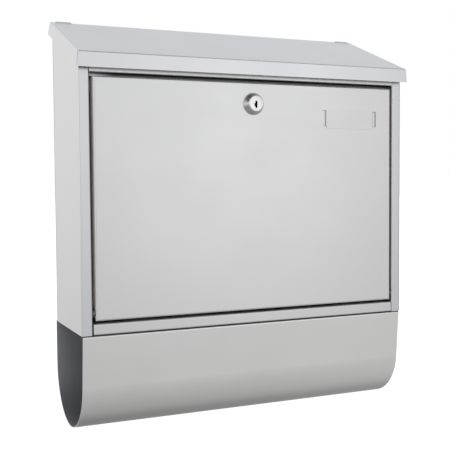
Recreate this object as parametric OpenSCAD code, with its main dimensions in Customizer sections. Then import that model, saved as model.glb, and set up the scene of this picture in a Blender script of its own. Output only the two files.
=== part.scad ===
// Wall mounted mailbox in folded stainless sheet: a box with a drop-down locked door,
// a lift-up sloping roof over the letter slot, and an open U-shaped newspaper holder below.
// Modules work in body coordinates: x from the centre to the right, y from the front plane
// back to the wall, z up from the box's underside. row_frame() moves them to the part's origin,
// which is the centre of the four wall holes on the wall's surface.

/* [Body] */
// Width of the box
body_w = 380; // [350:5:420]
// Depth of the box, front plane to the back panel's rear face
body_d = 107; // [100:1:125]
// Height of the roof's front fold above the underside
eave_z = 280.3; // [280:0.1:290]
// Thickness of the folded sheet
sheet_t = 0.8; // [0.7:0.1:1]
// Bend radius at the middle of the sheet
bend_r = 1.2; // [1:0.1:1.5]
// Width of the upright front flanges beside the door
flange_w = 11.5; // [10:0.5:14]
// Height of the rail below the door
sill_h = 11.5; // [10:0.5:12]
// Underside of the rail above the door
rail_z = 261.6; // [261:0.1:263]

/* [Roof] */
// Slope of the roof in degrees
roof_slope = 21.8; // [20:0.1:24]
// How far the fascia hangs in front of the box
roof_front = 8.9; // [8:0.1:12]
// How far each side lip stands outside the box at its upper fold
roof_side = 1.6; // [1.5:0.1:3]
// How far each side lip leans outwards in degrees
lip_lean = 5; // [0:0.5:8]
// Height of the fascia
fascia_h = 15.1; // [13:0.1:16]
// Diameter of the hinge rod
rod_d = 3; // [3:0.5:3.5]

/* [Door] */
// Gap between the door and each side flange
door_side_gap = 3.4; // [3:0.1:4]
// Bottom edge of the door
door_z0 = 14.6; // [14:0.1:15]
// Top edge of the door
door_z1 = 257.8; // [256:0.1:258.2]
// How far the door's face stands in front of the box
door_proud = 1.5; // [1:0.1:2]
// Height of the door's pivot above the underside
pivot_z = 22; // [21:0.5:24]
// Depth of the door's pivot behind the front plane
pivot_y = 5; // [4.5:0.1:5]

/* [Lock] */
// Height of the lock's axis
lock_z = 235.2; // [230:0.1:238]
// Diameter of the bezel where it meets the door
bezel_d = 23.4; // [22:0.1:26]
// Diameter of the bezel's flat front
bezel_face_d = 17; // [16.5:0.1:18]
// How far the bezel stands off the door
bezel_h = 7.1; // [6:0.1:8]
// Length of the cam from the lock's axis to its tip
cam_l = 34; // [32:0.5:36]

/* [Name plate] */
// Centre of the name plate from the box's centre line
plate_x = 120.2; // [100:0.1:130]
// Centre height of the name plate
plate_z = 220.8; // [215:0.1:225]
// Width of the name plate's raised face
plate_w = 61.6; // [55:0.1:70]
// Height of the name plate
plate_h = 19.8; // [16:0.1:22]
// Width of each window in the door that takes one end of the name plate
window_w = 5; // [4:0.1:6]
// Height of the windows
window_h = 17.4; // [14:0.1:20]

/* [Newspaper holder] */
// Depth of the holder below the box
holder_h = 105.3; // [90:0.1:120]
// Depth of the two flanges that fasten under the floor
holder_flange = 28.5; // [24:0.5:32]
// How far the holder's front wall leans back in degrees
holder_lean = 4.75; // [0:0.25:6]
// Radius of the front half of the holder's bottom
holder_front_r = 55; // [45:0.5:56]
// Radius of the rear half of the holder's bottom
holder_rear_r = 57.5; // [45:0.5:58]

/* [Wall fixing] */
// Spacing of the wall holes, left to right
hole_dx = 280; // [240:10:300]
// Spacing of the wall holes, top to bottom
hole_dz = 180; // [160:10:190]
// Height of the hole pattern's centre above the underside
holes_z = 160; // [150:5:165]
// Diameter of the wall holes
hole_d = 6.5; // [5:0.5:8]
// Length of the wall spacers
spacer_l = 11; // [10.5:0.5:14]

/* [Hidden] */
$fn = 48;

t = sheet_t;
half_w = body_w / 2;
big = 1000;
wall_y = body_d + spacer_l;
steel = [0.79, 0.79, 0.8];
zinc = [0.7, 0.71, 0.73];
black = [0.1, 0.1, 0.11];

// Side panels
side_rear_flange = 8;
side_return = 15;
side_hem = 8;
stop_y = 12.6;
stop_z = [244, 255];
stop_w = 9;

// Roof hinge: the roof's rear edge is rolled round a rod held by two brackets
rod_r = rod_d / 2;
roll_r = rod_r + 0.08 + t;
bracket_t = 2;
knuckle_r = rod_r + 0.02 + bracket_t;
hinge_y = body_d + knuckle_r;
roof_top = function(y) eave_z + tan(roof_slope) * (y + roof_front);
hinge_z = roof_top(hinge_y) - roll_r / cos(roof_slope);
hinge_s = (hinge_y + roof_front) * cos(roof_slope) + (hinge_z - eave_z) * sin(roof_slope);
roof_l = hinge_s + 2;
lip_h = fascia_h * cos(roof_slope);
lid_half_w = half_w + roof_side;
lip_reach = 2.5;
fascia_hem = 5;
bracket_x0 = half_w - 21;
bracket_x1 = half_w - 4;
bracket_foot_z = 300;
bracket_rivet_z = [305, 314];
rivet_r = 1.6;
side_top = function(y) roof_top(y) - t / cos(roof_slope) - 1.4;
back_top_z = roof_top(body_d) - t / cos(roof_slope) - 2;
rail_top_z = roof_top(0) - t / cos(roof_slope) - 2;
rail_back_y = 11.5;
rail_lip_y = 7;
rail_lip_z = door_z1 + 0.7;
bumper_r = 4;
bumper_y = 5.5;
bumper_x = half_w - 40;
bumper_h = roof_top(bumper_y - bumper_r) - t / cos(roof_slope) - 0.35 - rail_top_z;

// Door
door_half_w = half_w - flange_w - door_side_gap;
door_bend = bend_r + t / 2;
door_y1 = 12;
pivot_r = 2;
pivot_clearance = 0.05;
ear_r = 5;
plate_t = 0.5;
plate_y = -door_proud - 0.02 - plate_t / 2;
plate_end_y = -0.1;
plate_end_l = 6.5;
window_up = 1.4;

// Lock
thread_r = 9;
thread_flat = 8;
plug_r = 6.2;
plug_clearance = 0.05;
lock_back_y = 12.4;
cam_y = lock_back_y + 0.3;
lock_face_y = -door_proud - bezel_h;
cam_t = 2;
cam_w = 14;
drive_w = 7;
keyway = [2.4, 7.4, 8];

// Newspaper holder
holder_front_z = holder_front_r - holder_h;
holder_rear_z = holder_rear_r - holder_h;
holder_mid_y = round(100 * (holder_front_r - sin(holder_lean) * holder_front_z) / cos(holder_lean)) / 100;
holder_d = holder_mid_y + holder_rear_r;
holder_half_w = half_w - 1.3;
holder_bend_r = 2.4;
holder_screw_x = [-130, 0, 130];
holder_screw_y = [16, 95];
screw_r = 2;
screw_hole_r = 2.15;

// ---------------------------------------------------------------- helpers

// Moves body coordinates to the part's own frame
module row_frame() translate([0, -wall_y, -holes_z]) children();

// Extrudes a (y, z) outline along x from x0 to x1
module along_x(x0, x1) translate([x0, 0, 0]) rotate([90, 0, 90]) linear_extrude(x1 - x0) children();

// Coordinates on the roof: y runs up the slope from the front fold, z is square to the sheet
module on_roof() translate([0, -roof_front, eave_z]) rotate([roof_slope, 0, 0]) children();

// A cylinder along y, from y0 to y1
module rod_y(r, y0, y1) translate([0, y0, 0]) rotate([-90, 0, 0]) cylinder(r = r, h = y1 - y0);

// A cylinder along x, from x0 to x1
module rod_x(r, x0, x1) translate([x0, 0, 0]) rotate([0, 90, 0]) cylinder(r = r, h = x1 - x0);

unit = function(v) v / norm(v);
heading = function(a, b) atan2(b[1] - a[1], b[0] - a[0]);

// The outline of a bent sheet: its middle line runs through the points, with every corner rounded to r
module bent_sheet(points, r = bend_r, t = sheet_t) {
    n = len(points);
    turn = [for (i = [0:n - 1]) (i == 0 || i == n - 1) ? 0 :
        let (d = heading(points[i], points[i + 1]) - heading(points[i - 1], points[i]))
            d > 180 ? d - 360 : d < -180 ? d + 360 : d];
    cut = [for (a = turn) r * tan(abs(a) / 2)];
    for (i = [0:n - 2]) {
        a = heading(points[i], points[i + 1]);
        l = norm(points[i + 1] - points[i]);
        translate(points[i]) rotate(a) translate([cut[i], -t / 2]) square([l - cut[i] - cut[i + 1], t]);
    }
    for (i = [1:n - 2]) {
        a = heading(points[i - 1], points[i]);
        side = turn[i] > 0 ? 1 : -1;
        start = points[i] - cut[i] * [cos(a), sin(a)];
        centre = start + side * r * [-sin(a), cos(a)];
        translate(centre) rotate(a - side * 90) ring_sector(r - t / 2, r + t / 2, turn[i]);
    }
}

// Part of a ring from angle 0 round to angle a, which may be negative
module ring_sector(r0, r1, a) {
    reach = 2 * r1;
    steps = 4;
    intersection() {
        difference() {
            circle(r1);
            circle(r0);
        }
        polygon([[0, 0], for (i = [0:steps]) reach * [cos(a * i / steps), sin(a * i / steps)]]);
    }
}

// ---------------------------------------------------------------- body panels

module at_wall_holes() for (x = [-1, 1], z = [-1, 1])
    translate([x * hole_dx / 2, 0, holes_z + z * hole_dz / 2]) children();

module at_bracket_rivets() for (side = [-1, 1], z = bracket_rivet_z)
    translate([side * (half_w - 12.5), 0, z]) children();

module back_panel() color(steel) row_frame() difference() {
    translate([-half_w, body_d - t, 0]) cube([body_w, t, back_top_z]);
    at_wall_holes() rod_y(hole_d / 2, body_d - 5, body_d + 5);
    at_bracket_rivets() rod_y(rivet_r + 0.02, body_d - 5, body_d + 5);
}

// The right-hand side panel: rear flange, side, front flange and the return behind the flange
module side_panel() {
    middle = half_w - t / 2;
    difference() {
        linear_extrude(eave_z + body_d) bent_sheet([
            [half_w - side_rear_flange, body_d - 1.5 * t],
            [middle, body_d - 1.5 * t],
            [middle, t / 2],
            [half_w - flange_w + t / 2, t / 2],
            [half_w - flange_w + t / 2, side_return]]);
        // top edge, parallel to the roof
        along_x(0, big) polygon([
            [-20, side_top(-20)], [body_d + 20, side_top(body_d + 20)],
            [body_d + 20, big], [-20, big]]);
        // the return and rear flange stop above the floor
        translate([0, 2 * bend_r, -1]) cube([half_w - t - 0.05, side_return, 1 + t]);
        translate([0, body_d - 20, -1]) cube([half_w - 3, 20, 1 + t]);
        // hole for the door's pivot pin
        translate([0, pivot_y, pivot_z]) rod_x(pivot_r + 0.02, 0, half_w - 5);
    }
    // hem along the sloping top edge
    intersection() {
        translate([half_w - side_hem, 2, 0]) cube([side_hem - t, body_d - 4 - 2 * t, big]);
        along_x(0, big) polygon([
            [0, side_top(0)], [body_d, side_top(body_d)],
            [body_d, side_top(body_d) - t], [0, side_top(0) - t]]);
    }
    // stop tab behind the door's top corner
    translate([half_w - flange_w - stop_w, stop_y, stop_z[0]]) cube([stop_w, t, stop_z[1] - stop_z[0]]);
}

module right_side_panel() color(steel) row_frame() side_panel();

module left_side_panel() color(steel) row_frame() mirror([1, 0, 0]) side_panel();

module floor_panel() color(steel) row_frame() {
    x1 = half_w - flange_w - 0.9;
    upstand = 16;
    tab_h = 9;
    difference() {
        union() {
            // sill rail in front, floor, and the upstand against the back panel
            along_x(-x1, x1) bent_sheet([
                [10, sill_h - t / 2], [t / 2, sill_h - t / 2], [t / 2, t / 2],
                [body_d - 1.5 * t, t / 2], [body_d - 1.5 * t, upstand]]);
            // the floor runs on behind the flanges to the side panels
            for (side = [-1, 1]) intersection() {
                translate([side * (x1 + half_w - t) / 2 - (half_w - t - x1) / 2, side_return + 1, 0])
                    cube([half_w - t - x1, body_d - side_return - 1 - 4, t]);
                cube([2 * (half_w - t), big, big], center = true);
            }
            // tabs turned up along the sides, welded to the side panels
            for (side = [-1, 1]) translate([side * (half_w - 1.5 * t) - t / 2, 24, 0]) cube([t, 72, tab_h]);
        }
        at_holder_screws() translate([0, 0, -1]) cylinder(r = screw_hole_r, h = 4);
    }
}

// The rail over the door. Its lower edge is folded back, down and forwards again into a channel
module top_rail() color(steel) row_frame() {
    x1 = half_w - flange_w;
    along_x(-x1, x1) bent_sheet([
        [rail_lip_y, rail_lip_z + t / 2], [rail_back_y, rail_lip_z + t / 2],
        [rail_back_y, rail_z + t / 2], [t / 2, rail_z + t / 2],
        [t / 2, rail_top_z - t / 2], [10, rail_top_z - t / 2]], 1);
}

// ---------------------------------------------------------------- roof and its hinge

module hinge_bracket() difference() {
    along_x(bracket_x0, bracket_x1) union() {
        translate([hinge_y, hinge_z]) circle(knuckle_r);
        translate([body_d, bracket_foot_z]) square([bracket_t, hinge_z - bracket_foot_z]);
    }
    translate([0, hinge_y, hinge_z]) rod_x(rod_r + 0.02, 0, big);
    at_bracket_rivets() rod_y(rivet_r + 0.02, body_d - 5, body_d + 5);
}

module right_hinge_bracket() color(steel) row_frame() hinge_bracket();

module left_hinge_bracket() color(steel) row_frame() mirror([1, 0, 0]) hinge_bracket();

module bracket_rivets() color(zinc) row_frame() at_bracket_rivets() {
    rod_y(rivet_r, body_d - t - 0.1, body_d + bracket_t + 0.1);
    translate([0, body_d + bracket_t, 0]) rotate([-90, 0, 0]) cylinder(r1 = 3.1, r2 = 2.2, h = 1);
    translate([0, body_d - t - 1.2, 0]) rotate([-90, 0, 0]) cylinder(r1 = 1.8, r2 = 2.5, h = 1.2);
}

module hinge_rod() color(zinc) row_frame() translate([0, hinge_y, hinge_z]) {
    rod_x(rod_r, -bracket_x1 - 0.5, bracket_x1 + 0.5);
    for (side = [0, 1]) mirror([side, 0, 0]) rod_x(rod_r + 0.7, bracket_x1 + 0.15, bracket_x1 + 1.15);
}

// The roof's side view, drawn in by some distance, with the front fold rounded
module roof_outline(inset, past_end) {
    r = bend_r + t / 2;
    cy = -roof_front + r;
    cz = roof_top(cy) - r / cos(roof_slope);
    up = [cos(roof_slope), sin(roof_slope)];
    out = [-sin(roof_slope), cos(roof_slope)];
    fold = [cy, cz] + (r - inset) * out;
    rear = [-roof_front, eave_z] + (roof_l + past_end) * up - inset * out;
    polygon([
        [-roof_front + inset, cz], fold, rear,
        rear - (lip_h - inset + past_end) * out,
        [-roof_front + inset, eave_z - fascia_h - past_end / cos(roof_slope)]]);
    translate([cy, cz]) circle(r - inset);
}

// The roof seen along its slope, with the two upper corners rounded and the lips leaning out
module lip_outline(inset) {
    r = bend_r + t / 2;
    x = lid_half_w - r;
    reach = 60;
    out = (r - inset) * [cos(lip_lean), sin(lip_lean)] + [x, -r];
    foot = out + reach * [sin(lip_lean), -cos(lip_lean)];
    polygon([
        [-x, -inset], [-x, -r], [-out[0], out[1]], [-foot[0], foot[1]],
        foot, out, [x, -r], [x, -inset]]);
    for (side = [-1, 1]) translate([side * x, -r]) circle(r - inset);
}

module roof_block(inset, past_end) intersection() {
    along_x(-lid_half_w - lip_reach, lid_half_w + lip_reach) roof_outline(inset, past_end);
    on_roof() translate([0, roof_l + 20, 0]) rotate([90, 0, 0])
        linear_extrude(roof_l + 60) lip_outline(inset);
}

module roof_lid() color(steel) row_frame() {
    r = bend_r + t / 2;
    notch = knuckle_r + 0.6;
    difference() {
        roof_block(0, 0);
        roof_block(t, 10);
        // open corner seams between the fascia and the side lips
        for (side = [-1, 1]) translate([side * (lid_half_w + 0.6) - 2, -roof_front + t, 0])
            cube([4, 0.3, eave_z - r - 0.5]);
        on_roof() {
            // room for the hinge brackets
            for (side = [-1, 1]) translate([side * (half_w - 11.75) - 9.75, hinge_s - notch, -2])
                cube([19.5, 20, 8]);
            // the sheet turns into the roll here
            translate([-bracket_x0, hinge_s, -2]) cube([2 * bracket_x0, 20, 8]);
        }
    }
    // rolled rear edge round the hinge rod
    on_roof() translate([0, hinge_s, -roll_r]) along_x(-bracket_x0 + 0.5, bracket_x0 - 0.5)
        rotate(90) ring_sector(roll_r - t, roll_r, -280);
    // hem folded flat inside the fascia's bottom edge
    along_x(-lid_half_w + 8, lid_half_w - 8) translate([-roof_front + t, eave_z - fascia_h])
        square([t, fascia_hem]);
}

module lid_bumpers() color(black) row_frame() for (side = [-1, 1])
    translate([side * bumper_x, bumper_y, rail_top_z]) {
        cylinder(r = bumper_r, h = bumper_h - 0.8);
        translate([0, 0, bumper_h - 0.8]) cylinder(r1 = bumper_r, r2 = bumper_r - 0.8, h = 0.8);
    }

// ---------------------------------------------------------------- door

// A block with its front edges rounded, from the door's face to y1
module door_block(inset, y1) {
    x = door_half_w - inset;
    y0 = -door_proud + inset;
    z0 = door_z0 + inset;
    z1 = door_z1 - inset;
    r = door_bend - inset;
    intersection() {
        linear_extrude(big) rounded_front(-x, x, y0, y1, r);
        along_x(-x, x) mirror([1, -1]) rounded_front(z0, z1, y0, y1, r);
    }
}

// A rectangle in (across, depth) with its two front corners rounded
module rounded_front(a0, a1, y0, y1, r) {
    translate([a0, y0 + r]) square([a1 - a0, y1 - y0 - r]);
    translate([a0 + r, y0]) square([a1 - a0 - 2 * r, r]);
    for (a = [a0 + r, a1 - r]) translate([a, y0 + r]) circle(r);
}

module door_panel() color(steel) row_frame() {
    difference() {
        union() {
            door_block(0, door_y1);
            // ears that carry the pivots
            for (side = [-1, 1]) translate([0, pivot_y, pivot_z])
                rod_x(ear_r, side * (door_half_w - t / 2) - t / 2, side * (door_half_w - t / 2) + t / 2);
        }
        door_block(t, big);
        // sloping cut at the foot of each side return
        for (side = [-1, 1]) translate([side * door_half_w - 2, 0, 0]) along_x(0, 4)
            polygon([
                [1, door_z0 - 1], [20, door_z0 - 1],
                [20, door_z0 + 2.4], [pivot_y - 2, door_z0 + 2.4]]);
        // open seams where the returns meet at the corners
        for (side = [-1, 1], z = [door_z0 - 1, door_z1 - door_bend])
            translate([side * (door_half_w - t - 0.2) - 0.2, door_bend, z]) cube([0.4, 20, door_bend + 1]);
        // pivot holes
        translate([0, pivot_y, pivot_z]) rod_x(pivot_r + pivot_clearance, -big, big);
        // hole for the lock's threaded barrel, with flats
        translate([0, 0, lock_z]) intersection() {
            rod_y(thread_r + 0.1, -5, 5);
            cube([2 * (thread_flat + 0.1), 20, 40], center = true);
        }
        // windows that take the ends of the name plate
        for (side = [-1, 1])
            translate([plate_x + side * (plate_w / 2 - 0.8 + window_w / 2), 0, plate_z + window_up])
                cube([window_w, 10, window_h], center = true);
    }
}

// A thin strip lying on the door, its two ends stepped back through the windows and behind the door
module name_plate() color([0.82, 0.82, 0.83]) row_frame() translate([plate_x, 0, plate_z]) {
    x = plate_w / 2;
    fold = x - plate_t / 2;
    end = x + plate_end_l;
    end_h = window_h - 0.6;
    translate([-x + 0.9, plate_y - plate_t / 2, -plate_h / 2]) cube([plate_w - 1.8, plate_t, plate_h]);
    translate([0, 0, window_up - end_h / 2]) linear_extrude(end_h) bent_sheet([
        [-end, plate_end_y], [-fold, plate_end_y], [-fold, plate_y],
        [fold, plate_y], [fold, plate_end_y], [end, plate_end_y]], 0.35, plate_t);
}

module door_pivot_pins() color(zinc) row_frame() for (side = [0, 1]) mirror([side, 0, 0])
    translate([0, pivot_y, pivot_z]) {
        inside = door_half_w - t;
        rod_x(pivot_r, inside - 0.4, half_w - flange_w + t + 0.4);
        rod_x(pivot_r + 1.4, inside - 1.7, inside - 0.3);
        rod_x(pivot_r + 1.2, half_w - flange_w + t, half_w - flange_w + t + 1.2);
    }

module door_pivot_washers() color(zinc) row_frame() for (side = [0, 1]) mirror([side, 0, 0])
    translate([0, pivot_y, pivot_z]) difference() {
        rod_x(4, door_half_w + 0.3, half_w - flange_w);
        rod_x(pivot_r + 0.02, 0, big);
    }

// ---------------------------------------------------------------- lock

module at_lock() translate([0, 0, lock_z]) children();

// Revolves a (radius, depth) outline round the lock's axis, depth measured back from the bezel's face
module turned_on_lock() at_lock() translate([0, lock_face_y, 0])
    rotate([-90, 0, 0]) rotate_extrude() children();

module lock_barrel() color([0.86, 0.87, 0.88]) row_frame() {
    back = lock_back_y - lock_face_y;
    rim = 0.7;
    difference() {
        union() {
            turned_on_lock() union() {
                polygon([
                    [0, 0], [bezel_face_d / 2 - rim, 0], [bezel_face_d / 2, rim],
                    [bezel_d / 2 - 0.3, bezel_h - 1.4], [bezel_d / 2, bezel_h - 0.8], [bezel_d / 2, bezel_h],
                    [0, bezel_h]]);
                translate([bezel_face_d / 2 - rim, rim]) circle(rim);
            }
            at_lock() intersection() {
                rod_y(thread_r, -door_proud - 1, lock_back_y);
                cube([2 * thread_flat, 60, 40], center = true);
            }
        }
        at_lock() rod_y(plug_r + plug_clearance, lock_face_y - 1, lock_back_y + 1);
        // shallow ring turned into the front
        turned_on_lock() translate([plug_r + 0.9, -1]) square([0.35, 1.25]);
    }
}

module lock_nut() color(zinc) row_frame() {
    y0 = -door_proud + t;
    at_lock() difference() {
        translate([0, y0, 0]) rotate([-90, 0, 0]) cylinder(r = 13.5, h = 4, $fn = 6);
        rod_y(thread_r + 0.05, y0 - 1, y0 + 6);
    }
}

module lock_plug() color([0.84, 0.85, 0.86]) row_frame() {
    difference() {
        union() {
            at_lock() rod_y(plug_r, lock_face_y + 0.25, lock_back_y);
            at_lock() translate([-drive_w / 2 + 0.05, lock_back_y - 1, -drive_w / 2 + 0.05])
                cube([drive_w - 0.1, 1 + 0.3 + cam_t, drive_w - 0.1]);
        }
        // keyway, a slot with a side step like a key's profile
        at_lock() translate([0, lock_face_y, -0.9]) {
            translate([-keyway[0] / 2 + 0.2, -1, -keyway[1] / 2])
                cube([keyway[0], keyway[2] + 1, keyway[1]]);
            translate([-keyway[0] / 2 - 0.8, -1, -keyway[1] / 4])
                cube([keyway[0] + 0.8, keyway[2] + 1, keyway[1] / 2.4]);
        }
        at_lock() rod_y(1.75, lock_back_y - 6, lock_back_y + 6);
    }
}

// At rest the cam points sideways, which is the unlocked position
module lock_cam() color(zinc) row_frame() at_lock() difference() {
    union() {
        rod_y(cam_w / 2 + 1, cam_y, cam_y + cam_t);
        translate([0, cam_y, -cam_w / 2 + 1]) cube([cam_l - cam_w / 2 + 1, cam_t, cam_w - 2]);
        translate([cam_l - cam_w / 2 + 1, 0, 0]) rod_y(cam_w / 2 - 1, cam_y, cam_y + cam_t);
    }
    translate([0, cam_y, 0]) cube([drive_w, 3 * cam_t, drive_w], center = true);
}

module cam_screw() color(zinc) row_frame() at_lock() {
    head_y = cam_y + cam_t;
    difference() {
        union() {
            rod_y(1.7, lock_back_y - 5, head_y + 0.5);
            rod_y(6, head_y, head_y + 0.8);
            translate([0, head_y + 0.8, 0]) rotate([-90, 0, 0]) cylinder(r1 = 3.8, r2 = 3, h = 2.2);
        }
        for (a = [0, 90]) rotate([0, a, 0]) translate([-2.2, head_y + 1.8, -0.45]) cube([4.4, 3, 0.9]);
    }
}

// ---------------------------------------------------------------- newspaper holder

// The holder's side view, drawn in by some distance: a leaning front, a round bottom and an upright rear
module holder_outline(inset) {
    out = -[cos(holder_lean), sin(holder_lean)];
    r = holder_bend_r;
    slack = 0.002;
    front_c = [holder_mid_y, holder_front_z];
    front_bend = [round(1000 * (r * tan(holder_lean) + r / cos(holder_lean))) / 1000, -r];
    rear_bend = [holder_d - r, -r];
    polygon([
        [front_bend[0], -inset], front_bend, front_bend + (r - inset - slack) * out,
        front_c + (holder_front_r - inset - slack) * out, front_c, [holder_mid_y, holder_rear_z],
        [holder_d - inset, holder_rear_z], [holder_d - inset, -r], rear_bend, [rear_bend[0], -inset]]);
    for (bend = [front_bend, rear_bend]) translate(bend) circle(r - inset);
    intersection() {
        translate(front_c) circle(holder_front_r - inset);
        translate(front_c - [100, 100]) square(100);
    }
    intersection() {
        translate([holder_mid_y, holder_rear_z]) circle(holder_rear_r - inset);
        translate([holder_mid_y, holder_rear_z - 100]) square(100);
    }
}

// A trough open at both ends. Both upper edges are folded inwards and screwed under the floor
module newspaper_holder() color(steel) row_frame() difference() {
    along_x(-holder_half_w, holder_half_w) difference() {
        holder_outline(0);
        holder_outline(t);
        translate([holder_flange, -5]) square([holder_d - 2 * holder_flange, 10]);
    }
    at_holder_screws() translate([0, 0, -2]) cylinder(r = screw_hole_r, h = 3);
}

// A pan-head screw along +z whose head sits below z = 0, and the nut that goes on it
module screw(l) {
    difference() {
        union() {
            cylinder(r = screw_r, h = l);
            translate([0, 0, -1]) cylinder(r = 3.8, h = 1.001);
            translate([0, 0, -2.2]) cylinder(r1 = 2.8, r2 = 3.8, h = 1.2);
        }
        for (a = [0, 90]) rotate(a) translate([-2.2, -0.45, -3]) cube([4.4, 0.9, 1.9]);
    }
}

module nut(z0) translate([0, 0, z0]) difference() {
    cylinder(r = 4.04, h = 3.2, $fn = 6);
    translate([0, 0, -1]) cylinder(r = screw_r + 0.05, h = 6);
}

module at_holder_screws() for (x = holder_screw_x, y = holder_screw_y) translate([x, y, -t]) children();

module holder_screws() color(zinc) row_frame() at_holder_screws() screw(7);

module holder_nuts() color(zinc) row_frame() at_holder_screws() nut(2 * t);

// ---------------------------------------------------------------- wall fixing

module wall_spacers() color(black) row_frame() at_wall_holes() difference() {
    union() {
        rod_y(10, body_d, wall_y - 1);
        translate([0, wall_y - 1, 0]) rotate([-90, 0, 0]) cylinder(r1 = 10, r2 = 9, h = 1);
    }
    rod_y(hole_d / 2, body_d - 1, wall_y + 1);
}

back_panel();
left_side_panel();
right_side_panel();
floor_panel();
top_rail();
left_hinge_bracket();
right_hinge_bracket();
bracket_rivets();
hinge_rod();
roof_lid();
lid_bumpers();
door_panel();
door_pivot_pins();
door_pivot_washers();
name_plate();
lock_barrel();
lock_nut();
lock_plug();
lock_cam();
cam_screw();
newspaper_holder();
holder_screws();
holder_nuts();
wall_spacers();
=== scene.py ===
"""Looks of the wall mounted mailbox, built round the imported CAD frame.

The CAD nodes carry every shape. This script gives each of them a procedural material and
softens the edges of the small pieces, and adds the camera, the pale floor and the studio light.
"""
import math

import bpy
from mathutils import Matrix, Vector


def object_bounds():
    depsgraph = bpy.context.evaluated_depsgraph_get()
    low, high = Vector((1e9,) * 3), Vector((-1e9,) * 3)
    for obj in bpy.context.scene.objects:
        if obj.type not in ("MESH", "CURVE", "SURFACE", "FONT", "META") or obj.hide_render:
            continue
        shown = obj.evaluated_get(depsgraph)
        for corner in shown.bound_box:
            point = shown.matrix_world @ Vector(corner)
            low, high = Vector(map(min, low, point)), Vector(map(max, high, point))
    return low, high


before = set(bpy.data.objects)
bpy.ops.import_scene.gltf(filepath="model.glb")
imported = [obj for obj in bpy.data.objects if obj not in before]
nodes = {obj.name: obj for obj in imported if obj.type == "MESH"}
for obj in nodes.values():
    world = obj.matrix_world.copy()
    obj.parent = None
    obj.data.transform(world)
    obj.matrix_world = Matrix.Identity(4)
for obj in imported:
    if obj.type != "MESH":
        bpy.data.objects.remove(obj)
cad_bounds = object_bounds()
scene = bpy.context.scene
scene.view_settings.view_transform = "Standard"

MM = 0.001

# ---------------------------------------------------------------- camera

CAMERA_AT = Vector((-396.59, -933.19, -8.01)) * MM
CAMERA_YAW = 24.002
CAMERA_PITCH = -2.902
CAMERA_ROLL = -0.427
CAMERA_LENS = 67.41
SENSOR_WIDTH = 36
CLIP_NEAR = 0.01
CLIP_FAR = 100


def add_camera():
    """The photograph's viewpoint: yaw turns from +Y towards +X."""
    yaw, pitch, roll = (math.radians(a) for a in (CAMERA_YAW, CAMERA_PITCH, CAMERA_ROLL))
    forward = Vector((math.sin(yaw) * math.cos(pitch), math.cos(yaw) * math.cos(pitch),
                      math.sin(pitch)))
    level = Vector((math.cos(yaw), -math.sin(yaw), 0))
    upright = level.cross(forward)
    right = level * math.cos(roll) + upright * math.sin(roll)
    up = upright * math.cos(roll) - level * math.sin(roll)
    data = bpy.data.cameras.new("camera")
    data.sensor_width = SENSOR_WIDTH
    data.lens = CAMERA_LENS
    data.clip_start = CLIP_NEAR
    data.clip_end = CLIP_FAR
    obj = bpy.data.objects.new("camera", data)
    turn = Matrix((right, up, -forward)).transposed().to_4x4()
    obj.matrix_world = Matrix.Translation(CAMERA_AT) @ turn
    scene.collection.objects.link(obj)
    scene.camera = obj


# ---------------------------------------------------------------- node helpers

# Nearly all of a noise's values lie between these two.
NOISE_LOW = 0.3
NOISE_HIGH = 0.7
# Dot product of the rounded and the true normal where an edge begins to show, and where it's full.
EDGE_BEGINS = 0.995
EDGE_FULL = 0.85
EDGE_SAMPLES = 4


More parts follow.
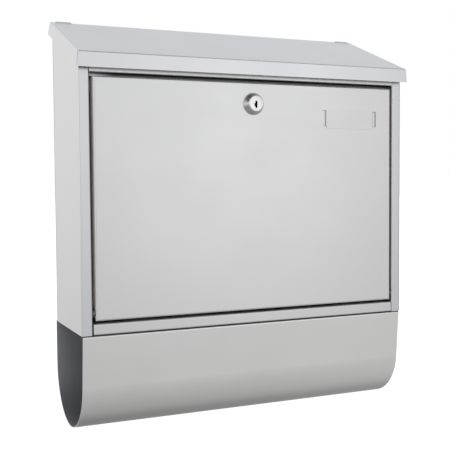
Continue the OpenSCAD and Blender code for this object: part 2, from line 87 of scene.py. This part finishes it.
class Graph:
    """A short way to write a node tree."""

    def __init__(self, tree):
        self.tree = tree
        tree.nodes.clear()

    def node(self, kind, inputs=None, **settings):
        n = self.tree.nodes.new(kind)
        for key, value in settings.items():
            setattr(n, key, value)
        for key, value in (inputs or {}).items():
            self.plug(n.inputs[key], value)
        return n

    def plug(self, socket, value):
        if isinstance(value, bpy.types.NodeSocket):
            self.tree.links.new(value, socket)
        else:
            socket.default_value = value

    def math(self, operation, a, b=0.0, c=0.0, clamp=False):
        n = self.node("ShaderNodeMath", operation=operation, use_clamp=clamp)
        for socket, value in zip(n.inputs, (a, b, c)):
            self.plug(socket, value)
        return n.outputs[0]

    def vmath(self, operation, a, b):
        n = self.node("ShaderNodeVectorMath", operation=operation)
        self.plug(n.inputs[0], a)
        self.plug(n.inputs[1], b)
        return n.outputs["Value"] if operation == "DOT_PRODUCT" else n.outputs["Vector"]

    def spread(self, value, lo, hi, out_lo=0.0, out_hi=1.0):
        """value from lo to hi becomes out_lo to out_hi, clamped and smooth."""
        n = self.node("ShaderNodeMapRange", interpolation_type="SMOOTHSTEP")
        keys = ("Value", "From Min", "From Max", "To Min", "To Max")
        for key, v in zip(keys, (value, lo, hi, out_lo, out_hi)):
            self.plug(n.inputs[key], v)
        return n.outputs["Result"]

    def noise(self, at, scale, detail, rough=0.5):
        """Noise at a position multiplied by scale: a number, or one number for each axis."""
        per_axis = scale if isinstance(scale, tuple) else (scale,) * 3
        where = self.vmath("MULTIPLY", at, per_axis)
        n = self.node("ShaderNodeTexNoise", {"Vector": where, "Scale": 1.0, "Detail": detail,
                                             "Roughness": rough})
        return n.outputs["Fac"]

    def vary(self, noise, lo, hi):
        """A noise turned into values from lo to hi."""
        return self.spread(noise, NOISE_LOW, NOISE_HIGH, lo, hi)

    def mix(self, factor, a, b, blend="MIX"):
        n = self.node("ShaderNodeMix", data_type="RGBA", blend_type=blend)
        self.plug(n.inputs[0], factor)
        self.plug(n.inputs[6], a if isinstance(a, bpy.types.NodeSocket) else (*a, 1.0))
        self.plug(n.inputs[7], b if isinstance(b, bpy.types.NodeSocket) else (*b, 1.0))
        return n.outputs[2]

    def grey(self, tone):
        return self.node("ShaderNodeCombineColor", {0: tone, 1: tone, 2: tone}).outputs[0]

    def toned(self, color, tone):
        """A colour multiplied by a number."""
        return self.mix(1.0, color, self.grey(tone), "MULTIPLY")

    def at(self):
        """The position in the frame that every piece shares at rest."""
        return self.node("ShaderNodeTexCoord").outputs["Object"]

    def split(self, vector):
        return self.node("ShaderNodeSeparateXYZ", {0: vector}).outputs

    def edge_mask(self, radius):
        """1 where a hard edge is nearer than radius, 0 on the flats."""
        soft = self.node("ShaderNodeBevel", {"Radius": radius}, samples=EDGE_SAMPLES).outputs[0]
        true = self.node("ShaderNodeNewGeometry").outputs["Normal"]
        return self.spread(self.vmath("DOT_PRODUCT", soft, true), EDGE_BEGINS, EDGE_FULL)

    def bump(self, strength, distance, height):
        return self.node("ShaderNodeBump", {"Strength": strength, "Distance": distance,
                                            "Height": height}).outputs[0]

    def finish(self, settings):
        shader = self.node("ShaderNodeBsdfPrincipled", settings)
        self.node("ShaderNodeOutputMaterial", {"Surface": shader.outputs[0]})


def new_material(name):
    m = bpy.data.materials.new(name)
    m.use_nodes = True
    return m, Graph(m.node_tree)


# ---------------------------------------------------------------- brushed sheet

# Noise scales per metre, along the grain and across it.
GRAIN_ALONG = 22.0
GRAIN_FINE = 2600.0
GRAIN_COARSE = 420.0
FINE_SHARE = 0.6
STREAK_TONE = 0.005
STREAK_ROUGHNESS = 0.012
STREAK_BUMP = 0.0175
STREAK_HEIGHT = 0.02 * MM
SMUDGE_SCALE = 14.0
SMUDGE_TONE = 0.01
SMUDGE_SMOOTHER = -0.012
SMUDGE_ROUGHER = 0.018
SHEET_EDGE = 0.5 * MM
SHEET_EDGE_TONE = 0.06
SHEET_EDGE_ROUGHNESS = -0.08
SHEET_ANISOTROPY = 0.45
QUARTER_TURN = 0.25
SATIN = 0.33

# The duller finishes of the door's returns and of the newspaper holder's inner side.
RETURN_ROUGHER = 0.3
RETURN_METALLIC = 0.25
INNER_COLOR = (0.62, 0.632, 0.668)
INNER_ROUGHER = 0.1
INNER_FULL = -12 * MM
INNER_NONE = -2 * MM


def grain_scale(axis, along, across):
    return tuple(along if i == axis else across for i in range(3))


def brushed_steel(name, color, axis, rough=SATIN, returns=None, front=None, shade=None,
                  inner=None):
    """Satin stainless sheet with its grain along axis 0, 1 or 2.

    returns: colour of the dull mill finish on folds turned away from the front
    front: tone of painted shade on the faces turned to the front
    shade: a function of (graph, axes, normal) giving a tone of painted shade for hidden channels
    and seams
    inner: centre (y, z) of a trough whose inner side has its own duller finish
    """
    m, g = new_material(name)
    at = g.at()
    fine = g.noise(at, grain_scale(axis, GRAIN_ALONG, GRAIN_FINE), 2.0, 0.6)
    coarse = g.noise(at, grain_scale(axis, GRAIN_ALONG / 3, GRAIN_COARSE), 2.0)
    smudge = g.noise(at, SMUDGE_SCALE, 3.0, 0.55)
    edge = g.edge_mask(SHEET_EDGE)
    streak = g.math("ADD", g.math("MULTIPLY", fine, FINE_SHARE),
                    g.math("MULTIPLY", coarse, 1.0 - FINE_SHARE))
    tone = g.vary(streak, 1.0 - STREAK_TONE, 1.0 + STREAK_TONE)
    tone = g.math("MULTIPLY", tone, g.vary(smudge, 1.0 - SMUDGE_TONE, 1.0 + SMUDGE_TONE))
    tone = g.math("MULTIPLY_ADD", edge, SHEET_EDGE_TONE, tone)
    base = g.toned(color, tone)
    roughness = g.math("ADD", g.vary(streak, rough - STREAK_ROUGHNESS, rough + STREAK_ROUGHNESS),
                       g.vary(smudge, SMUDGE_SMOOTHER, SMUDGE_ROUGHER))
    roughness = g.math("MULTIPLY_ADD", edge, SHEET_EDGE_ROUGHNESS, roughness)
    bump = g.bump(STREAK_BUMP, STREAK_HEIGHT, streak)
    tangent = g.node("ShaderNodeCombineXYZ", {axis: 1.0}).outputs[0]
    metallic = 1.0
    axes = g.split(at)
    normal = g.split(g.node("ShaderNodeTexCoord").outputs["Normal"])
    ahead = g.math("ABSOLUTE", normal[1])
    if returns is not None:
        turned = g.spread(ahead, 0.35, 0.85, 1.0, 0.0)
        base = g.mix(turned, base, returns)
        roughness = g.math("MULTIPLY_ADD", turned, RETURN_ROUGHER, roughness)
        metallic = g.spread(turned, 0.0, 1.0, 1.0, RETURN_METALLIC)
    # painted shade: faces turned to the front get a darker, bluer tone
    if front is not None:
        base = g.mix(g.spread(ahead, 0.5, 0.9), base, g.mix(1.0, base, front, "MULTIPLY"))
    if inner is not None:
        # negative where the surface faces the trough's centre
        out_y = g.math("MULTIPLY", g.math("SUBTRACT", axes[1], inner[0]), normal[1])
        out_z = g.math("MULTIPLY", g.math("SUBTRACT", axes[2], inner[1]), normal[2])
        inside = g.spread(g.math("ADD", out_y, out_z), INNER_FULL, INNER_NONE, 1.0, 0.0)
        base = g.mix(inside, base, INNER_COLOR)
        roughness = g.math("MULTIPLY_ADD", inside, INNER_ROUGHER, roughness)
    # painted shade: the base colour is darkened where shade falls in channels and seams
    if shade is not None:
        base = g.toned(base, shade(g, axes, normal))
    g.finish({"Base Color": base, "Metallic": metallic, "Roughness": roughness,
              "Anisotropic": SHEET_ANISOTROPY, "Anisotropic Rotation": QUARTER_TURN,
              "Normal": bump, "Tangent": tangent})
    return m


# Where the painted shade in the channel, the seam and the corners begins and ends, and how dark it
# is.
CHANNEL_FRONT = -116.6 * MM
CHANNEL_BACK = -115.6 * MM
CHANNEL_LEFT = -172 * MM
CHANNEL_LEFT_DARKER = -0.4
CHANNEL_REST = -148 * MM
CHANNEL_REST_DARKER = -0.86
SEAM_LOW = -161.7 * MM
SEAM_HIGH = -160.8 * MM
SEAM_SHADE_TONE = 0.12
CORNER_Y = 125.95 * MM
CORNER_FULL = 0.4 * MM
CORNER_NONE = 0.9 * MM
CORNER_DARKER = -0.8


def rail_painted_shade(g, axes, normal):
    """Painted shade in the channel behind the rail's face, less dark at its left end."""
    behind = g.spread(axes[1], CHANNEL_FRONT, CHANNEL_BACK)
    darker = g.spread(axes[0], CHANNEL_LEFT, CHANNEL_REST, CHANNEL_LEFT_DARKER,
                      CHANNEL_REST_DARKER)
    return g.math("MULTIPLY_ADD", behind, darker, 1.0)


def seam_painted_shade(g, axes, normal):
    """Painted shade in the seam between the holder's top fold and the box."""
    return g.spread(axes[2], SEAM_LOW, SEAM_HIGH, 1.0, SEAM_SHADE_TONE)


def corner_painted_shade(g, axes, normal):
    """Painted shade in the open seams between the fascia's ends and the side lips."""
    off = g.math("ABSOLUTE", g.math("ADD", axes[1], CORNER_Y))
    line = g.math("MULTIPLY", g.spread(off, CORNER_FULL, CORNER_NONE, 1.0, 0.0),
                  g.spread(g.math("ABSOLUTE", normal[0]), 0.7, 0.95))
    return g.math("MULTIPLY_ADD", line, CORNER_DARKER, 1.0)


# ---------------------------------------------------------------- other materials

CAST_EDGE = 0.3 * MM
CAST_BUMP = 0.25
LOCK_EDGE = 0.25 * MM
LOCK_BUMP = 0.15
METAL_EDGE_TONE = 0.08
METAL_BUMP_HEIGHT = 0.03 * MM
LOCK_FACE_Y = -126.6 * MM
DOOR_BACK_Y = -118.7 * MM
KEYWAY_LIP = 0.35 * MM
KEYWAY_DARK = 1.2 * MM
KEYWAY_ENDS = 12 * MM
KEYWAY_ENDED = 13 * MM
KEYWAY_SHADE_TONE = 0.05
THREAD_PITCH = 1.0 * MM
THREAD_RUN_IN = 0.2 * MM
THREAD_HEIGHT = 6.0
RUBBER_EDGE = 0.6 * MM
RUBBER_EDGE_LIGHT = 0.25
RUBBER_BUMP = 0.5
RUBBER_BUMP_HEIGHT = 0.05 * MM
RUBBER_DARK = (0.018, 0.018, 0.019)
RUBBER_DUSTY = (0.075, 0.073, 0.07)


def cast_metal(name, color, rough, grain=500.0, spots=0.05):
    """Plated or turned metal with a fine even grain and brighter edges."""
    m, g = new_material(name)
    at = g.at()
    fine = g.noise(at, grain, 3.0, 0.6)
    broad = g.noise(at, grain / 14, 2.0)
    edge = g.edge_mask(CAST_EDGE)
    tone = g.math("MULTIPLY", g.vary(broad, 1.0 - spots, 1.0 + spots), g.vary(fine, 0.98, 1.02))
    tone = g.math("MULTIPLY_ADD", edge, METAL_EDGE_TONE, tone)
    base = g.toned(color, tone)
    roughness = g.math("ADD", g.vary(broad, rough - 0.03, rough + 0.05),
                       g.vary(fine, -0.02, 0.02))
    g.finish({"Base Color": base, "Metallic": 1.0, "Roughness": roughness,
              "Normal": g.bump(CAST_BUMP, METAL_BUMP_HEIGHT, fine)})
    return m


def rubber(name):
    """Black rubber, a little greyer on its edges and where dust lies."""
    m, g = new_material(name)
    at = g.at()
    fine = g.noise(at, 1800.0, 3.0, 0.6)
    dust = g.noise(at, 60.0, 3.0, 0.6)
    edge = g.edge_mask(RUBBER_EDGE)
    light = g.math("MULTIPLY_ADD", edge, RUBBER_EDGE_LIGHT,
                   g.spread(dust, 0.45, 0.75, 0.0, 0.3), clamp=True)
    base = g.mix(light, RUBBER_DARK, RUBBER_DUSTY)
    g.finish({"Base Color": base, "Roughness": g.vary(fine, 0.62, 0.8),
              "Normal": g.bump(RUBBER_BUMP, RUBBER_BUMP_HEIGHT, fine)})
    return m


def lock_metal(name, color, rough, keyway=False, thread=False):
    """Chromed lock metal. A keyway has painted shade inside, and a thread starts behind the door.
    """
    m, g = new_material(name)
    at = g.at()
    fine = g.noise(at, 900.0, 3.0, 0.6)
    broad = g.noise(at, 90.0, 2.0)
    edge = g.edge_mask(LOCK_EDGE)
    y = g.split(at)[1]
    tone = g.vary(broad, 0.97, 1.03)
    tone = g.math("MULTIPLY_ADD", edge, METAL_EDGE_TONE, tone)
    height = fine
    if keyway:
        # painted shade inside the keyway, from just behind the face to its far end
        inside = g.spread(y, LOCK_FACE_Y + KEYWAY_LIP, LOCK_FACE_Y + KEYWAY_DARK)
        behind = g.spread(y, LOCK_FACE_Y + KEYWAY_ENDS, LOCK_FACE_Y + KEYWAY_ENDED)
        deep = g.math("SUBTRACT", inside, behind)
        tone = g.math("MULTIPLY", tone, g.spread(deep, 0.0, 1.0, 1.0, KEYWAY_SHADE_TONE))
    if thread:
        turns = g.math("SINE", g.math("MULTIPLY", y, 2 * math.pi / THREAD_PITCH))
        threaded = g.spread(y, DOOR_BACK_Y, DOOR_BACK_Y + THREAD_RUN_IN)
        height = g.math("MULTIPLY_ADD", g.math("MULTIPLY", turns, threaded), THREAD_HEIGHT, fine)
    base = g.toned(color, tone)
    roughness = g.vary(broad, rough - 0.03, rough + 0.04)
    g.finish({"Base Color": base, "Metallic": 1.0, "Roughness": roughness,
              "Normal": g.bump(LOCK_BUMP, METAL_BUMP_HEIGHT, height)})
    return m


# ---------------------------------------------------------------- materials on the pieces

X_AXIS = 0
Z_AXIS = 2
STEEL = (0.62, 0.622, 0.63)
TROUGH_CENTRE = (-58.6 * MM, -212 * MM)
steel_x = brushed_steel("steel_grain_x", STEEL, X_AXIS)
# The front tones of steel_z and lid_steel are painted shade on the flanges and on the fascia.
steel_z = brushed_steel("steel_grain_z", STEEL, Z_AXIS, front=(0.845, 0.86, 0.885))
lid_steel = brushed_steel("lid_steel", STEEL, X_AXIS, front=(0.915, 0.92, 0.94),
                          shade=corner_painted_shade)
rail_steel = brushed_steel("rail_steel", STEEL, X_AXIS, shade=rail_painted_shade)
sill_steel = brushed_steel("sill_steel", (0.535, 0.535, 0.54), X_AXIS)
holder_steel = brushed_steel("holder_steel", (0.63, 0.63, 0.632), X_AXIS, 0.34, shade=seam_painted_shade,
                             inner=TROUGH_CENTRE)
galvanised = cast_metal("galvanised", (0.74, 0.745, 0.75), 0.42, grain=260.0, spots=0.06)
washer_metal = cast_metal("washer_metal", (0.14, 0.14, 0.145), 0.5)
zinc = cast_metal("zinc_plate", (0.42, 0.43, 0.44), 0.38)
bezel = lock_metal("lock_bezel", (0.6, 0.6, 0.61), 0.2, thread=True)
plug = lock_metal("lock_plug", (0.57, 0.57, 0.585), 0.26, keyway=True)
plate = brushed_steel("plate_satin", (0.575, 0.575, 0.58), X_AXIS, 0.36)
door_steel = brushed_steel("door_steel", (0.55, 0.552, 0.557), X_AXIS,
                           returns=(0.82, 0.785, 0.765))
black = rubber("black_rubber")

DRESS = {
    steel_x: ["back_panel"],
    lid_steel: ["roof_lid"],
    rail_steel: ["top_rail"],
    sill_steel: ["floor_panel"],
    washer_metal: ["door_pivot_washers"],
    door_steel: ["door_panel"],
    steel_z: ["left_side_panel", "right_side_panel"],
    holder_steel: ["newspaper_holder"],
    galvanised: ["left_hinge_bracket", "right_hinge_bracket", "hinge_rod"],
    zinc: ["bracket_rivets", "door_pivot_pins", "lock_nut", "lock_cam",
           "cam_screw", "holder_screws", "holder_nuts"],
    bezel: ["lock_barrel"],
    plug: ["lock_plug"],
    plate: ["name_plate"],
    black: ["lid_bumpers", "wall_spacers"],
}

for material, names in DRESS.items():
    for name in names:
        slots = nodes[name].data.materials
        slots.clear()
        slots.append(material)

# ---------------------------------------------------------------- softened edges

WELD_WITHIN = 0.01 * MM
BEVEL_FROM = math.radians(32)

# name: (bevel width in mm, segments)
SOFT_EDGES = {
    "lock_barrel": (0.1, 2),
    "lock_plug": (0.12, 2),
    "lock_nut": (0.4, 2),
    "lock_cam": (0.25, 2),
    "cam_screw": (0.3, 2),
    "holder_screws": (0.25, 2),
    "holder_nuts": (0.3, 2),
    "wall_spacers": (0.8, 3),
    "lid_bumpers": (0.6, 3),
    "left_hinge_bracket": (0.25, 2),
    "right_hinge_bracket": (0.25, 2),
    "bracket_rivets": (0.2, 2),
    "door_pivot_pins": (0.25, 2),
    "door_pivot_washers": (0.12, 2),
    "hinge_rod": (0.3, 2),
    "name_plate": (0.08, 2),
}


def soften(obj, width, segments):
    weld = obj.modifiers.new("weld", "WELD")
    weld.merge_threshold = WELD_WITHIN
    bevel = obj.modifiers.new("bevel", "BEVEL")
    bevel.width = width * MM
    bevel.segments = segments
    bevel.limit_method = "ANGLE"
    bevel.angle_limit = BEVEL_FROM
    bevel.harden_normals = True
    obj.modifiers.new("normals", "WEIGHTED_NORMAL").keep_sharp = True


for name, (width, segments) in SOFT_EDGES.items():
    soften(nodes[name], width, segments)

# ---------------------------------------------------------------- studio

FLOOR_GAP = 14 * MM
FLOOR_HALF = 12.0
FLOOR_GLOW = 0.82
KEY_DIRECTION = Vector((0.43, -0.9, 0.1)).normalized()
WARM_WHITE = (1.0, 0.995, 0.985)
COOL_WHITE = (0.965, 0.985, 1.02)
SOFTBOX_AT = Vector((-1.9, -0.9, 0.5))
SOFTBOX_SIZE = (1.2, 1.4)
SOFTBOX_WATTS = 3
SOFTBOX_COLOR = (1.0, 0.99, 0.97)


def add_floor():
    """A pale floor for the camera. The metal reflects the studio's lower half instead."""
    low = cad_bounds[0][2] - FLOOR_GAP
    mesh = bpy.data.meshes.new("floor")
    s = FLOOR_HALF
    mesh.from_pydata([(-s, -s, low), (s, -s, low), (s, s, low), (-s, s, low)], [],
                     [(0, 1, 2, 3)])
    floor = bpy.data.objects.new("floor", mesh)
    scene.collection.objects.link(floor)
    m, g = new_material("floor_paint")
    base = g.grey(g.vary(g.noise(g.at(), 30.0, 3.0), 0.49, 0.51))
    g.finish({"Base Color": base, "Roughness": 0.95, "Specular IOR Level": 0.0,
              "Emission Color": (1, 1, 1, 1), "Emission Strength": FLOOR_GLOW})
    mesh.materials.append(m)
    floor.visible_glossy = False
    floor.visible_diffuse = False
    floor.visible_shadow = False


def add_world():
    """A white studio with a brighter key in front, darker overhead, at the sides and below.

    Each level is a factor on the light from one part of the sphere round the box.
    """
    world = bpy.data.worlds.new("studio")
    scene.world = world
    world.use_nodes = True
    g = Graph(world.node_tree)
    look = g.node("ShaderNodeTexCoord").outputs["Generated"]
    x, y, z = g.split(look)[:3]
    height = g.math("MULTIPLY_ADD", g.math("MAXIMUM", y, 0.0), -0.45, z)
    ahead = g.vmath("DOT_PRODUCT", look, KEY_DIRECTION)

    def dim(a, b, by):
        """1 + a * b * by"""
        return g.math("MULTIPLY_ADD", g.math("MULTIPLY", a, b), by, 1.0)

    overhead = g.spread(height, 0.55, 0.92, 1.0, g.spread(x, -0.2, 0.4, 0.2, 0.5))
    below = g.spread(z, -0.5, 0.02, 0.76, 1.0)
    far_below = g.spread(z, -1.0, -0.55, 0.68, 1.0)
    behind_below = dim(g.spread(y, -0.1, 0.4), g.spread(z, -0.55, -0.2, 1.0, 0.0), -0.55)
    right = dim(g.spread(x, 0.5, 0.98), g.spread(z, -0.45, -0.05, 0.1, 1.0), -0.7)
    right_low = dim(g.spread(x, 0.3, 0.6), g.spread(z, -0.4, -0.12, 1.0, 0.0), 0.14)
    left = dim(g.spread(x, -0.9, -0.5, 1.0, 0.0),
               g.spread(g.math("ABSOLUTE", z), 0.08, 0.45), -0.4)
    left_gradient = dim(g.spread(x, -0.35, -0.1, 1.0, 0.0),
                        g.spread(z, -0.4, 0.4, -0.08, 0.2), 1.0)
    front_wall = g.spread(ahead, 0.4, 0.8, 1.0, 0.88)
    key = g.spread(ahead, 0.94, 0.998, 1.0, 1.95)

    level = overhead
    for factor in (below, far_below, behind_below, right, right_low, left, left_gradient,
                   front_wall, key):
        level = g.math("MULTIPLY", level, factor)
    tone = g.mix(g.spread(z, 0.05, 0.6), WARM_WHITE, COOL_WHITE)
    lit = g.toned(tone, level)
    seen = g.node("ShaderNodeLightPath").outputs["Is Camera Ray"]
    back = g.node("ShaderNodeBackground", {"Color": g.mix(seen, lit, (1.0, 1.0, 1.0)),
                                           "Strength": 1.0})
    g.node("ShaderNodeOutputWorld", {"Surface": back.outputs[0]})


def add_softbox():
    """A weak warm light from the left, aimed at the origin."""
    data = bpy.data.lights.new("softbox_left", "AREA")
    data.shape = "RECTANGLE"
    data.size, data.size_y = SOFTBOX_SIZE
    data.energy = SOFTBOX_WATTS
    data.color = SOFTBOX_COLOR
    obj = bpy.data.objects.new("softbox_left", data)
    obj.location = SOFTBOX_AT
    obj.rotation_euler = (-SOFTBOX_AT).to_track_quat("-Z", "Y").to_euler()
    obj.visible_camera = False
    scene.collection.objects.link(obj)


add_camera()
add_floor()
add_world()
add_softbox()
